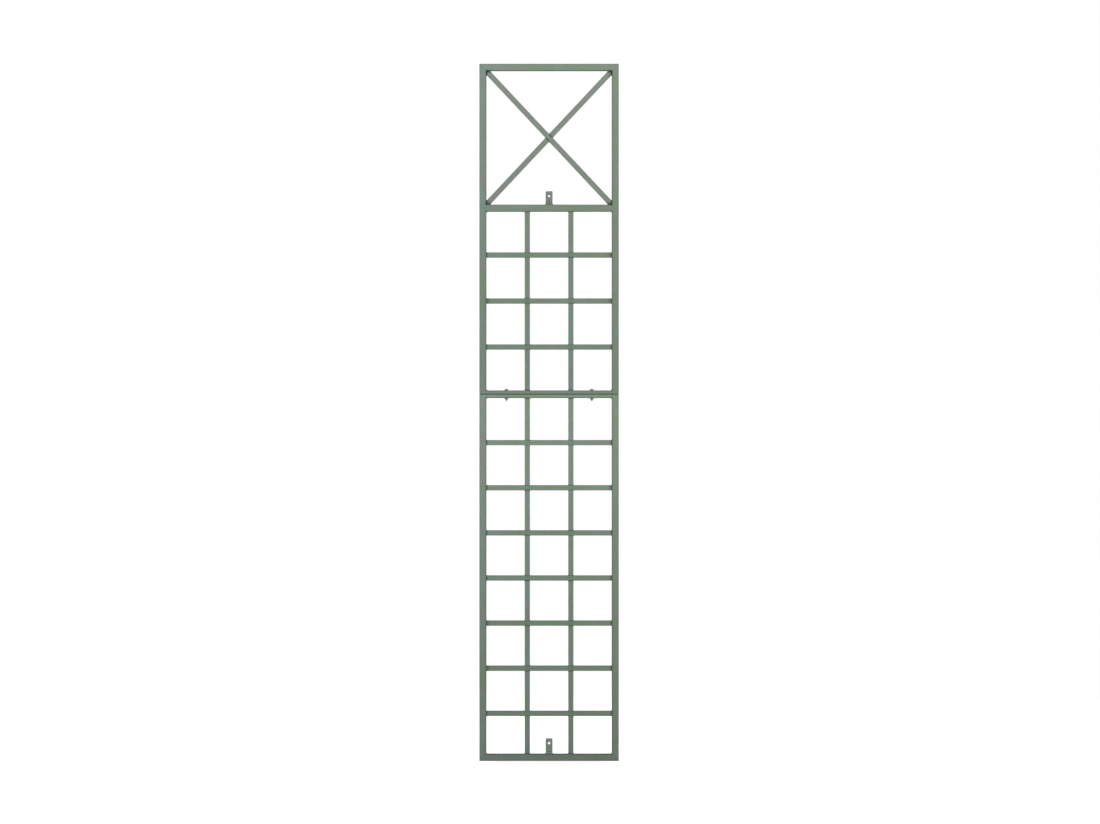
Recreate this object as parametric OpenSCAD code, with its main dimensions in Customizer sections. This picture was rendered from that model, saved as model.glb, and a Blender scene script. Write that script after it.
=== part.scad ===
// Espalier frame: a wall trellis of two welded steel panels, bolted one above the other.
// Millimetres. X runs along the wall, Y from the front to the wall, and Z up.
// The origin is the centre of the bottom rail's underside.

/* [Panels] */
// Width of both panels over their stiles
frame_w = 400; // [300:5:600]
// Height of the upper panel
upper_h = 948; // [800:1:1200]
// Height of the lower panel
lower_h = 1052; // [800:1:1300]
// Clear height of the braced bay at the top
bay_h = 384; // [250:1:450]
// Rows of openings in the upper grid
upper_rows = 4; // [2:1:5]
// Rows of openings in the lower grid
lower_rows = 8; // [4:1:9]
// How far the lower crossbars sit below even spacing
lower_grid_drop = 6; // [0:1:20]

/* [Frame tube] */
// Outside size of the square tube of the stiles and rails
frame_tube = 20; // [18:1:25]
// Wall of the square tube
frame_wall = 1.5; // [1:0.1:2]
// Outside corner radius of the square tube
frame_corner = 3; // [2.5:0.1:4]
// Height of each flat joint rail, which is as deep as the square tube
joint_rail_h = 11; // [8:0.5:14]
// Outside corner radius of the joint rails
joint_corner = 3.5; // [2.2:0.1:3.8]
// Thickness of the plates that close the stile ends at the joint
cap_t = 4; // [3:0.5:6]
// Edge radius of those plates
cap_edge = 2.5; // [0.5:0.1:2.8]

/* [Infill bars] */
// Outside size of the square bars between the frame tubes
bar = 15; // [10:1:18]
// Wall of the square bars
bar_wall = 1.5; // [1:0.1:2]
// Outside corner radius of the square bars
bar_corner = 2.5; // [2.2:0.1:3.5]

/* [Wall brackets] */
// Width of the flat bar of a bracket
bracket_w = 20; // [16:1:30]
// Thickness of the flat bar
bracket_t = 4; // [3:0.5:6]
// Height of a bracket above the rail that carries it
bracket_h = 41; // [32:1:60]
// Distance from the back of the frame to the wall
wall_gap = 25; // [15:1:60]
// Outside radius of the bend
bracket_bend = 7; // [6.5:0.5:10]
// How far the bracket's foot stops behind the front of its rail
bracket_setback = 2; // [0:0.5:6]
// Radius of the bracket's two top corners
bracket_corner = 2.5; // [0.5:0.5:5]
// Diameter of the screw hole
screw_hole_d = 6.5; // [5:0.5:9]
// Height of the screw hole's centre above the rail
screw_hole_h = 27; // [20:1:30]

/* [Joint fasteners] */
// Distance of each bolt from the nearer stile
bolt_from_stile = 57.5; // [30:0.5:70]
// Bolt thread diameter
bolt_d = 5; // [4:0.5:6]
// Width of head and nut across flats
hex_af = 8; // [7:0.5:10]
// Height of the bolt head with its flange
head_h = 4.4; // [3.5:0.1:7]
// Height of the nut with its flange
nut_h = 5; // [4:0.1:7]
// Length of bolt that shows below the nut
bolt_tip = 3; // [1:0.5:6]
// Length of the cone that ends the bolt
bolt_point = 0.8; // [0.3:0.1:0.9]
// Diameter of the flanges of head and nut
flange_d = 11.8; // [10.5:0.1:14]
// Thickness of a flange at its rim
flange_edge = 1.4; // [0.5:0.1:1.6]
// Extra diameter of the bolt holes in the joint rails
rail_hole_clearance = 0.5; // [0.3:0.1:1]
// Extra diameter of the nut's plain bore over the bolt
nut_clearance = 0.2; // [0.1:0.05:0.3]

/* [Welds] */
// Leg of a fillet weld
weld_leg = 2; // [1:0.5:3.5]

/* [Hidden] */
$fn = 64;
left = -1;
right = 1;
// Two uprights part the grid into three columns of openings
columns = 3;
min_inner_corner = 0.2;
hex_chamfer_angle = 30;
flange_angle = 25;

// Heights of the faces that the pieces are fitted between
total_h = lower_h + upper_h;
bottom_rail_top = frame_tube;
joint_z = lower_h;
lower_grid_top = joint_z - joint_rail_h;
upper_grid_bottom = joint_z + joint_rail_h;
bay_top = total_h - frame_tube;
bay_bottom = bay_top - bay_h;
upper_grid_top = bay_bottom - frame_tube;

// Places across the width
half_w = frame_w / 2;
inner_x = half_w - frame_tube;
stile_x = half_w - frame_tube / 2;
column_w = (2 * inner_x - (columns - 1) * bar) / columns;
upright_x = (column_w + bar) / 2;
bolt_x = inner_x - bolt_from_stile;

// Depths that the welds can cover, which are the flats between round corners
frame_flat = frame_tube - 2 * frame_corner;
bar_flat = bar - 2 * bar_corner;

// Braced bay
bay_w = 2 * inner_x;
bay_mid_z = (bay_top + bay_bottom) / 2;
brace_angle = atan2(bay_h, bay_w);
brace_reach = bay_w + bay_h;

// Wall brackets
wall_y = frame_tube / 2 + wall_gap;
foot_front_y = bracket_setback - frame_tube / 2;

// Crossbars run from stile to stile, and an upright is in pieces between them.
// Both are counted upwards from 1.
upper_gap = row_gap(upper_grid_bottom, upper_grid_top, upper_rows);
lower_gap = row_gap(bottom_rail_top, lower_grid_top, lower_rows);
function row_gap(bottom, top, rows) = (top - bottom - (rows - 1) * bar) / rows;
function row_z(row, bottom, gap) = bottom + row * (gap + bar) - bar / 2;
function upper_row_z(row) = row_z(row, upper_grid_bottom, upper_gap);
function lower_row_z(row) = row_z(row, bottom_rail_top, lower_gap) - lower_grid_drop;
function upper_piece_bottom(piece) = piece == 1 ? upper_grid_bottom : upper_row_z(piece - 1) + bar / 2;
function upper_piece_top(piece) = piece == upper_rows ? upper_grid_top : upper_row_z(piece) - bar / 2;
function lower_piece_bottom(piece) = piece == 1 ? bottom_rail_top : lower_row_z(piece - 1) + bar / 2;
function lower_piece_top(piece) = piece == lower_rows ? lower_grid_top : lower_row_z(piece) - bar / 2;
function side_name(side) = side == left ? "left" : "right";
function crossbar_name(panel, row) = str(panel, "_crossbar_", row);
function upright_name(panel, side, piece) = str(panel, "_", side_name(side), "_upright_", piece);

frame_green = [0.46, 0.53, 0.46];
bar_green = [0.44, 0.51, 0.44];
weld_green = [0.38, 0.45, 0.38];
coated_steel = [0.42, 0.46, 0.42];

// Tube shapes

module rounded_rect(w, h, r) {
    square([w - 2 * r, h], center = true);
    square([w, h - 2 * r], center = true);
    for (x = [-1, 1], y = [-1, 1])
        translate([x * (w / 2 - r), y * (h / 2 - r)])
            circle(r);
}

module tube_section(w, h, corner, wall) {
    difference() {
        rounded_rect(w, h, corner);
        rounded_rect(w - 2 * wall, h - 2 * wall, max(corner - wall, min_inner_corner));
    }
}

// A tube that stands between two heights
module upright_tube(size, corner, wall, bottom, top) {
    translate([0, 0, bottom])
        linear_extrude(top - bottom)
            tube_section(size, size, corner, wall);
}

// A tube that lies along X, centred on the origin
module level_tube(depth, height, corner, wall, length) {
    rotate([90, 0, 90])
        linear_extrude(length, center = true)
            tube_section(depth, height, corner, wall);
}

// A flat outline in X and Z, given depth in Y about the mid-plane
module xz_prism(depth) {
    rotate([90, 0, 0])
        linear_extrude(depth, center = true)
            children();
}

// Stiles and rails

module upper_stile(side) {
    bottom = joint_z + cap_t;
    color(frame_green)
        intersection() {
            translate([side * stile_x, 0, 0])
                upright_tube(frame_tube, frame_corner, frame_wall, bottom, total_h);
            xz_prism(2 * frame_tube)
                polygon([
                    [side * inner_x, bottom],
                    [side * half_w, bottom],
                    [side * half_w, total_h],
                    [side * inner_x, total_h - frame_tube]
                ]);
        }
}

module lower_stile(side) {
    top = joint_z - cap_t;
    color(frame_green)
        intersection() {
            translate([side * stile_x, 0, 0])
                upright_tube(frame_tube, frame_corner, frame_wall, 0, top);
            xz_prism(2 * frame_tube)
                polygon([
                    [side * inner_x, top],
                    [side * half_w, top],
                    [side * half_w, 0],
                    [side * inner_x, frame_tube]
                ]);
        }
}

// The rail along an outer edge, whose long side is at long_z and whose short side is at short_z
module mitred_rail(long_z, short_z) {
    color(frame_green)
        intersection() {
            translate([0, 0, (long_z + short_z) / 2])
                level_tube(frame_tube, frame_tube, frame_corner, frame_wall, frame_w);
            xz_prism(2 * frame_tube)
                polygon([
                    [-half_w, long_z],
                    [half_w, long_z],
                    [inner_x, short_z],
                    [-inner_x, short_z]
                ]);
        }
}

module top_rail() {
    mitred_rail(total_h, bay_top);
}

module bottom_rail() {
    mitred_rail(0, bottom_rail_top);
}

module mid_rail() {
    color(frame_green)
        translate([0, 0, bay_bottom - frame_tube / 2])
            level_tube(frame_tube, frame_tube, frame_corner, frame_wall, bay_w);
}

// A flat joint rail, drilled for the bolts
module joint_rail(bottom) {
    color(frame_green)
        difference() {
            translate([0, 0, bottom + joint_rail_h / 2])
                level_tube(frame_tube, joint_rail_h, joint_corner, frame_wall, bay_w);
            at_bolts()
                translate([0, 0, bottom - 1])
                    cylinder(d = bolt_d + rail_hole_clearance, h = joint_rail_h + 2);
        }
}

// A plate that closes a stile end: its bottom edges are round, except where the joint rail butts on it
module end_cap(side) {
    intersection() {
        linear_extrude(cap_t)
            rounded_rect(frame_tube, frame_tube, frame_corner);
        xz_prism(2 * frame_tube) {
            cap_outline();
            translate([-side * frame_tube / 4, cap_t])
                square([frame_tube / 2, 2 * cap_t], center = true);
        }
        rotate(90)
            xz_prism(2 * frame_tube)
                cap_outline();
    }
}

// An outline with the plate's round edges along its bottom, at a height of 0
module cap_outline() {
    translate([0, cap_t])
        rounded_rect(frame_tube, 2 * cap_t, cap_edge);
}

module upper_stile_caps() {
    color(frame_green)
        for (side = [left, right])
            translate([side * stile_x, 0, joint_z])
                end_cap(side);
}

module lower_stile_caps() {
    color(frame_green)
        for (side = [left, right])
            translate([side * stile_x, 0, joint_z])
                mirror([0, 0, 1])
                    end_cap(side);
}

// Braces

module bay_space() {
    translate([0, 0, bay_mid_z])
        cube([bay_w, 2 * frame_tube, bay_h], center = true);
}

// A bar through the middle of the bay, rising to the right or to the left
module brace_bar(rise_side) {
    translate([0, 0, bay_mid_z])
        rotate([0, -rise_side * brace_angle, 0])
            level_tube(bar, bar, bar_corner, bar_wall, brace_reach);
}

// All that lies above or below the full brace
module beside_full_brace(direction) {
    translate([0, 0, bay_mid_z])
        rotate([0, brace_angle, 0])
            translate([0, 0, direction * (bar + brace_reach) / 2])
                cube([2 * brace_reach, 2 * frame_tube, brace_reach], center = true);
}

module brace_full() {
    color(bar_green)
        intersection() {
            brace_bar(left);
            bay_space();
        }
}

module brace_half(direction) {
    color(bar_green)
        intersection() {
            brace_bar(right);
            bay_space();
            beside_full_brace(direction);
        }
}

// Grid

module crossbar(z) {
    color(bar_green)
        translate([0, 0, z])
            level_tube(bar, bar, bar_corner, bar_wall, 2 * inner_x);
}

module upright_piece(side, bottom, top) {
    color(bar_green)
        translate([side * upright_x, 0, 0])
            upright_tube(bar, bar_corner, bar_wall, bottom, top);
}

// Wall brackets

// Side view of a bracket: depth towards the wall, and height above the rail
module bracket_outline() {
    bend_y = wall_y - bracket_bend;
    translate([foot_front_y, 0])
        square([bend_y - foot_front_y, bracket_t]);
    translate([wall_y - bracket_t, bracket_bend])
        square([bracket_t, bracket_h - bracket_bend]);
    translate([bend_y, bracket_bend])
        intersection() {
            difference() {
                circle(bracket_bend);
                circle(bracket_bend - bracket_t);
            }
            translate([0, -bracket_bend])
                square(bracket_bend);
        }
}

module wall_bracket(rail_top) {
    color(frame_green)
        translate([0, 0, rail_top])
            difference() {
                intersection() {
                    rotate([90, 0, 90])
                        linear_extrude(bracket_w, center = true)
                            bracket_outline();
                    xz_prism(4 * wall_y)
                        rounded_rect(bracket_w, 2 * bracket_h, bracket_corner);
                }
                translate([0, wall_y, screw_hole_h])
                    rotate([90, 0, 0])
                        cylinder(d = screw_hole_d, h = 4 * bracket_t, center = true);
            }
}

// Joint fasteners

module at_bolts() {
    for (side = [left, right])
        translate([side * bolt_x, 0, 0])
            children();
}

// A hexagon on a flange: the flange's top is a shallow cone, and the hexagon's top corners are turned off
module flanged_hex(height) {
    flat_r = hex_af / 2;
    corner_r = flat_r / cos(180 / 6);
    chamfer = (corner_r - flat_r) * tan(hex_chamfer_angle);
    flange_top = flange_edge + (flange_d / 2 - flat_r) * tan(flange_angle);
    rotate_extrude()
        polygon([
            [0, 0],
            [flange_d / 2, 0],
            [flange_d / 2, flange_edge],
            [flat_r, flange_top],
            [0, flange_top]
        ]);
    intersection() {
        cylinder(r = corner_r, h = height, $fn = 6);
        rotate_extrude()
            polygon([
                [0, 0],
                [corner_r, 0],
                [corner_r, height - chamfer],
                [flat_r, height],
                [0, height]
            ]);
    }
}

module joint_bolts() {
    tip_z = lower_grid_top - nut_h - bolt_tip;
    shank_z = tip_z + bolt_point;
    color(coated_steel)
        at_bolts() {
            translate([0, 0, upper_grid_bottom])
                flanged_hex(head_h);
            translate([0, 0, shank_z])
                cylinder(d = bolt_d, h = upper_grid_bottom - shank_z);
            translate([0, 0, tip_z])
                cylinder(d1 = bolt_d - 2 * bolt_point, d2 = bolt_d, h = bolt_point);
        }
}

module joint_nuts() {
    color(coated_steel)
        at_bolts()
            translate([0, 0, lower_grid_top])
                mirror([0, 0, 1])
                    difference() {
                        flanged_hex(nut_h);
                        translate([0, 0, -1])
                            cylinder(d = bolt_d + nut_clearance, h = nut_h + 2);
                    }
}

// Welds

// A fillet in the corner at [x, z], with its legs along two directions in degrees from +X
module fillet(x, z, way_a, way_b, depth) {
    xz_prism(depth)
        translate([x, z])
            polygon([
                [0, 0],
                weld_leg * [cos(way_a), sin(way_a)],
                weld_leg * [cos(way_b), sin(way_b)]
            ]);
}

// The angle of a direction along X, which is 0 to the right and 180 to the left
function along(side) = side == right ? 0 : 180;

// Two fillets beside the end of an upright's piece, on what lies below or above it
module upright_welds(x, z, up) {
    for (side = [left, right])
        fillet(x + side * bar / 2, z, along(side), up ? 90 : -90, bar_flat);
}

// Four fillets above and below a crossbar, where it meets the stiles
module crossbar_welds(z) {
    for (side = [left, right], up = [-1, 1])
        fillet(side * inner_x, z + up * bar / 2, along(-side), up * 90, bar_flat);
}

// Two fillets in the inner corners between a rail and the stiles
module corner_welds(z, up) {
    for (side = [left, right])
        fillet(side * inner_x, z, along(-side), up ? 90 : -90, frame_flat);
}

// Two fillets beside the foot of a bracket
module bracket_welds(rail_top) {
    for (side = [left, right])
        fillet(side * bracket_w / 2, rail_top, along(side), 90, frame_flat);
}

// Fillets on both sides of each brace end, and in the four corners of the crossing
module brace_welds() {
    along_rail = bar / 2 / sin(brace_angle);
    along_stile = bar / 2 / cos(brace_angle);
    for (side = [left, right], up = [-1, 1]) {
        inward = side == right ? 180 - brace_angle : brace_angle;
        corner_z = bay_mid_z + up * bay_h / 2;
        fillet(side * (inner_x - along_rail), corner_z, along(-side), -up * inward, bar_flat);
        fillet(side * inner_x, corner_z - up * along_stile, -up * 90, -up * inward, bar_flat);
    }
    for (side = [left, right]) {
        outward = side == right ? brace_angle : 180 - brace_angle;
        fillet(side * along_rail, bay_mid_z, outward, -outward, bar_flat);
    }
    for (up = [-1, 1])
        fillet(0, bay_mid_z + up * along_stile, up * brace_angle, up * (180 - brace_angle), bar_flat);
}

module upper_panel_welds() {
    color(weld_green) {
        corner_welds(upper_grid_bottom, true);
        corner_welds(upper_grid_top, false);
        for (row = [1 : upper_rows - 1])
            crossbar_welds(upper_row_z(row));
        for (side = [left, right], piece = [1 : upper_rows]) {
            upright_welds(side * upright_x, upper_piece_bottom(piece), true);
            upright_welds(side * upright_x, upper_piece_top(piece), false);
        }
        brace_welds();
        bracket_welds(bay_bottom);
    }
}

module lower_panel_welds() {
    color(weld_green) {
        corner_welds(bottom_rail_top, true);
        corner_welds(lower_grid_top, false);
        for (row = [1 : lower_rows - 1])
            crossbar_welds(lower_row_z(row));
        for (side = [left, right], piece = [1 : lower_rows]) {
            upright_welds(side * upright_x, lower_piece_bottom(piece), true);
            upright_welds(side * upright_x, lower_piece_top(piece), false);
        }
        bracket_welds(bottom_rail_top);
    }
}

upper_stile(left);  // upper_left_stile
upper_stile(right);  // upper_right_stile
top_rail();
mid_rail();
joint_rail(joint_z);  // upper_joint_rail
brace_full();
brace_half(1);  // brace_half_upper
brace_half(-1);  // brace_half_lower
wall_bracket(bay_bottom);  // upper_wall_bracket
for (row = [1 : upper_rows - 1])
    crossbar(upper_row_z(row));
for (side = [left, right], piece = [1 : upper_rows])
    upright_piece(side, upper_piece_bottom(piece), upper_piece_top(piece));
lower_stile(left);  // lower_left_stile
lower_stile(right);  // lower_right_stile
bottom_rail();
joint_rail(joint_z - joint_rail_h);  // lower_joint_rail
wall_bracket(bottom_rail_top);  // lower_wall_bracket
for (row = [1 : lower_rows - 1])
    crossbar(lower_row_z(row));
for (side = [left, right], piece = [1 : lower_rows])
    upright_piece(side, lower_piece_bottom(piece), lower_piece_top(piece));
upper_stile_caps();
lower_stile_caps();
joint_bolts();
joint_nuts();
upper_panel_welds();
lower_panel_welds();
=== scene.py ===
# %% [markdown]
# # An espalier frame, dressed in Blender
# The real object is a wall trellis of two welded steel panels, bolted one above the other and
# powder coated in a dull sage green. Its tubes, bars and end plates arrive here as exact solids,
# in metres, and stay where they are. Blender adds what plain solids leave out: the coat, the weld
# beads, the thread on the bolts and the softened edges of the wall brackets.

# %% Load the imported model
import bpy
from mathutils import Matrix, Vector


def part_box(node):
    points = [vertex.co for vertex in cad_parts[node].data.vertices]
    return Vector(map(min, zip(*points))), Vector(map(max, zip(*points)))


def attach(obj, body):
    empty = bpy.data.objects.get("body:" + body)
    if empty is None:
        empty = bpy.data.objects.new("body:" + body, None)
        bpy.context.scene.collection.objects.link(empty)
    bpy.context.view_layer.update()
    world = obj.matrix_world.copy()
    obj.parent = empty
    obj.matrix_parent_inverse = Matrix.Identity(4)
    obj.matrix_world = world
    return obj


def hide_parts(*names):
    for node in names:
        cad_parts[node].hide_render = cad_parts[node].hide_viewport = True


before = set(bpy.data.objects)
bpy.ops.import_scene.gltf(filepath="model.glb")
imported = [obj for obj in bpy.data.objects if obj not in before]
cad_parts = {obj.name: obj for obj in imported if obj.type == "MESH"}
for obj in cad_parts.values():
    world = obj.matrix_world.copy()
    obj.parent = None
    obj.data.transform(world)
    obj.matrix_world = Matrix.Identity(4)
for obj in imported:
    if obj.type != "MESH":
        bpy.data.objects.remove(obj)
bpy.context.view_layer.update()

# %% [markdown]
# Every later step needs to know where the tubes are. The places could be typed in as numbers, but
# they are read from the boxes around the loaded pieces instead, so the welds and bolts still land
# on the steel when a size in the model changes. The frame lies in the plane of X and Z, with the
# same faces in front and behind, so one number says how far a face is from that plane.

# %% Places on the frame
import math

import bpy
from mathutils import Matrix, Vector

MM = 0.001
SIDES = (-1, 1)
PANELS = ("upper", "lower")
low = {name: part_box(name)[0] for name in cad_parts}
high = {name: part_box(name)[1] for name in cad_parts}

outer_x = high["upper_right_stile"].x
inner_x = low["upper_right_stile"].x
tube_face = high["top_rail"].y
bar_face = high["brace_full"].y
frame_top = high["top_rail"].z
bay_top = low["top_rail"].z
bay_bottom = high["mid_rail"].z
bay_mid = (bay_top + bay_bottom) / 2
upper_grid_top = low["mid_rail"].z
upper_grid_bottom = high["upper_joint_rail"].z
joint_z = high["lower_joint_rail"].z
lower_grid_top = low["lower_joint_rail"].z
lower_grid_bottom = high["bottom_rail"].z
grid_ends = (lower_grid_bottom, lower_grid_top, upper_grid_bottom, upper_grid_top)
crossbars = sorted(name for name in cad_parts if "_crossbar_" in name)
upright_pieces = sorted(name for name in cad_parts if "_upright_" in name)
print(len(crossbars), "crossbars between stiles at", round(inner_x, 4))
print(len(upright_pieces), "pieces of uprights between the crossbars and rails")

# %% [markdown]
# ## A small bench for node trees
# Materials and Geometry Nodes are both trees of nodes. Clicking them together by hand can't be
# repeated, and linking them one call at a time hides the sum that they work out. Here a wire
# stands for one output socket and knows plain arithmetic, so that `1 - mask` adds the right Math
# node by itself. The operators differ in one word only, so one function makes them all.

# %% Wires
def math_operator(operation, reflected=False):
    """A method that adds a Math node, with the wire before or after the other value."""
    def work(wire, *other):
        values = (*other, wire) if reflected else (wire, *other)
        return wire.maths(operation, *values)
    return work


class Wire:
    """An output socket that can stand in a sum."""

    def __init__(self, bench, socket):
        self.bench = bench
        self.socket = socket

    def maths(self, operation, *values):
        return self.bench.node("ShaderNodeMath", {"operation": operation}, dict(enumerate(values)))

    __add__, __radd__ = math_operator("ADD"), math_operator("ADD", reflected=True)
    __sub__, __rsub__ = math_operator("SUBTRACT"), math_operator("SUBTRACT", reflected=True)
    __mul__, __rmul__ = math_operator("MULTIPLY"), math_operator("MULTIPLY", reflected=True)
    __truediv__, __rtruediv__ = math_operator("DIVIDE"), math_operator("DIVIDE", reflected=True)
    __pow__ = math_operator("POWER")
    __abs__ = math_operator("ABSOLUTE")


print("wires know plain arithmetic")

# %% [markdown]
# Every other node comes from one method of the bench. It takes the node's type, its settings,
# which come first because they decide on the sockets, and the values or wires of those sockets.

# %% The bench
def find_socket(sockets, key):
    """A socket by its place, its identifier or its name."""
    if isinstance(key, int):
        return sockets[key]
    named = [s for s in sockets if s.identifier == key] or [s for s in sockets if s.name == key]
    return named[0]


class Bench:
    """A node tree that starts empty."""

    def __init__(self, tree):
        self.tree = tree
        tree.nodes.clear()

    def node(self, kind, settings=None, sockets=None, out=0):
        """Adds a node, sets it up, fills its sockets, and returns one of its outputs."""
        made = self.tree.nodes.new(kind)
        for name, value in (settings or {}).items():
            setattr(made, name, value)
        for key, value in (sockets or {}).items():
            for one in value if isinstance(value, list) else [value]:
                socket = find_socket(made.inputs, key)
                if isinstance(one, Wire):
                    self.tree.links.new(one.socket, socket)
                else:
                    socket.default_value = one
        return Wire(self, find_socket(made.outputs, out)) if len(made.outputs) else made


print("the bench is ready")

# %% [markdown]
# A few sums come back all the time, in materials as well as in shapes, so they get names.

# %% Sums with names
def soft_step(value, start, end):
    """0 up to start, 1 from end on, and a smooth slope between."""
    return value.bench.node(
        "ShaderNodeMapRange",
        {"interpolation_type": "SMOOTHSTEP"},
        {"Value": value, "From Min": start, "From Max": end},
    )


def near(distance, full, gone):
    """1 where a distance is under full millimetres, either way, and 0 from gone on."""
    return 1 - soft_step(abs(distance), full * MM, gone * MM)


def most(value, *others):
    """The largest of several values."""
    for other in others:
        value = value.maths("MAXIMUM", value, other)
    return value


def least(value, other):
    """The smaller of two values."""
    return value.maths("MINIMUM", value, other)


def split(vector):
    """The three numbers of a vector."""
    return [vector.bench.node("ShaderNodeSeparateXYZ", None, {0: vector}, axis) for axis in range(3)]


def scaled(vector, amount):
    """A vector, or a colour without a change of hue, times a number."""
    sockets = {0: vector, "Scale": amount}
    return vector.bench.node("ShaderNodeVectorMath", {"operation": "SCALE"}, sockets)


print("sums with names are ready")

# %% [markdown]
# ## Camera
# The photograph looks straight at the frame from a long way off, so its lines stay parallel. A
# long lens at the same distance gives the same slight view of the rails' top and bottom faces.
# The lens follows from one measure: how many metres of the frame's front fill the picture.

# %% Camera
PICTURE_WIDTH = 3.1546
CAMERA_DISTANCE = 9.4
CAMERA_X = 0.0026
CAMERA_HEIGHT = 1.001
SENSOR = 36.0

camera = bpy.data.cameras.new("camera")
camera.sensor_width = SENSOR
camera.sensor_fit = "HORIZONTAL"
camera.lens = SENSOR * (CAMERA_DISTANCE - tube_face) / PICTURE_WIDTH
viewer = bpy.data.objects.new("camera", camera)
viewer.location = (CAMERA_X, -CAMERA_DISTANCE, CAMERA_HEIGHT)
viewer.rotation_euler = (math.radians(90), 0, 0)
scene = bpy.context.scene
scene.collection.objects.link(viewer)
scene.camera = viewer
print("lens", round(camera.lens, 1), "mm")

# %% [markdown]
# ## Light and floor
# The frame stands in plain white surroundings under soft light from the front, which weakens
# towards the floor. The faces that look up or down are darker than those that look forwards. One
# wide spot lamp with a fully soft rim gives the fall-off. Two more stand to the sides, a little
# behind the frame, and light its sides and back without a change to its front.

# %% Lamps
CONE = 66
BULB_RADIUS = 0.7
FRONT_WATTS, FRONT_PLACE, FRONT_TARGET = 820, (0.5, -6.0, 1.1), (0, 0, 2.3)
SIDE_WATTS, SIDE_PLACE, SIDE_TARGET = 900, (5.2, 2.8, 1.7), (0, 0, 1.0)

scene.view_settings.view_transform = "Standard"


def lamp(name, watts, place, target):
    """A spot lamp with a soft rim and a wide bulb, aimed at a point."""
    light = bpy.data.lights.new(name, "SPOT")
    light.energy = watts
    light.spot_size = math.radians(CONE)
    light.spot_blend = 1.0
    light.shadow_soft_size = BULB_RADIUS
    holder = bpy.data.objects.new(name, light)
    holder.location = place
    holder.rotation_euler = (Vector(target) - Vector(place)).to_track_quat("-Z", "Y").to_euler()
    scene.collection.objects.link(holder)
    print(name, watts, "W")


lamp("front_lamp", FRONT_WATTS, FRONT_PLACE, FRONT_TARGET)
for name, side in (("left_lamp", -1), ("right_lamp", 1)):
    lamp(name, SIDE_WATTS, (side * SIDE_PLACE[0], *SIDE_PLACE[1:]), SIDE_TARGET)

# %% [markdown]
# The world fills the shadows, more from the front than from behind. The white around the frame is
# not made with more light, which would wash out the coat: the Light Path node makes the world and
# the floor look white only to the camera and in reflections, while the object is lit by a dimmer
# world.

# %% World
AMBIENT = 0.15
FRONT_AMBIENT = 0.295


def seen_directly(bench):
    """1 for what the camera sees, straight or in a reflection, and 0 for what lights the object."""
    path = "ShaderNodeLightPath"
    straight, mirrored, through = (
        bench.node(path, out=f"Is {ray} Ray") for ray in ("Camera", "Glossy", "Transmission")
    )
    return least(straight + mirrored + through, 1.0)


world = bpy.data.worlds.new("white_surroundings")
world.use_nodes = True
scene.world = world
bench = Bench(world.node_tree)
backwards = split(bench.node("ShaderNodeTexCoord", out="Generated"))[1]
ambient = AMBIENT + FRONT_AMBIENT * soft_step(-1 * backwards, 0.0, 1.0)
strength = ambient + (1 - ambient) * seen_directly(bench)
sky = bench.node("ShaderNodeBackground", None, {"Color": (1, 1, 1, 1), "Strength": strength})
bench.node("ShaderNodeOutputWorld", None, {"Surface": sky})
print("world light from", AMBIENT, "to", AMBIENT + FRONT_AMBIENT)

# %% [markdown]
# The floor is a plain disc. A white floor could be left out of such a picture, but the frame would
# then float, so the disc glows only for the camera and still takes the frame's shadow.

# %% Floor
FLOOR_RADIUS = 2.6
FLOOR_STEPS = 96
FLOOR_PAINT = (0.8, 0.8, 0.8, 1)
FLOOR_GLOW = 0.74

floor_mesh = bpy.data.meshes.new("floor")
rim = [math.tau * step / FLOOR_STEPS for step in range(FLOOR_STEPS)]
corners = [(FLOOR_RADIUS * math.cos(turn), FLOOR_RADIUS * math.sin(turn), 0) for turn in rim]
floor_mesh.from_pydata(corners, [], [range(len(corners))])
floor = bpy.data.objects.new("floor", floor_mesh)
scene.collection.objects.link(floor)
floor_white = bpy.data.materials.new("floor_white")
floor_white.use_nodes = True
bench = Bench(floor_white.node_tree)
paint = bench.node("ShaderNodeBsdfDiffuse", None, {"Color": FLOOR_PAINT})
glow = bench.node("ShaderNodeEmission", None, {"Strength": FLOOR_GLOW * seen_directly(bench)})
both = bench.node("ShaderNodeAddShader", None, {0: paint, 1: glow})
bench.node("ShaderNodeOutputMaterial", None, {"Surface": both})
floor_mesh.materials.append(floor_white)
print("floor of", FLOOR_RADIUS, "m radius")

# %% [markdown]
# ## The sage powder coat
# Powder coat is dull and slightly pebbled, like the skin of an orange, because the powder melts
# into a film that never levels out fully. A single colour would look like plastic. It could be
# painted on an image, but an image has to be unwrapped and runs out of pixels in a close look, so
# the coat is mixed from noise on Object coordinates instead. Every piece shares one origin, and
# the drift in colour then runs on from piece to piece as it does on the real frame. First come the
# few helpers that each material here needs.

# %% Helpers for materials
DULL = {"Specular IOR Level": 0.1}


def noise(place, scale, detail=2.0):
    """Soft noise with so many cells to a metre, which is about 0.5 and seldom past 0.3 or 0.7."""
    sockets = {"Vector": place, "Scale": scale, "Detail": detail}
    return place.bench.node("ShaderNodeTexNoise", None, sockets)


def blend(bench, share, first, second):
    """A mix of two colours that has a share of the second."""
    return bench.node(
        "ShaderNodeMix",
        {"data_type": "RGBA"},
        {"Factor_Float": share, "A_Color": first, "B_Color": second},
        "Result_Color",
    )


def new_material(name):
    """A material with its bench, and a wire for the point's place on the object."""
    material = bpy.data.materials.new(name)
    material.use_nodes = True
    bench = Bench(material.node_tree)
    return material, bench, bench.node("ShaderNodeTexCoord", out="Object")


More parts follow.
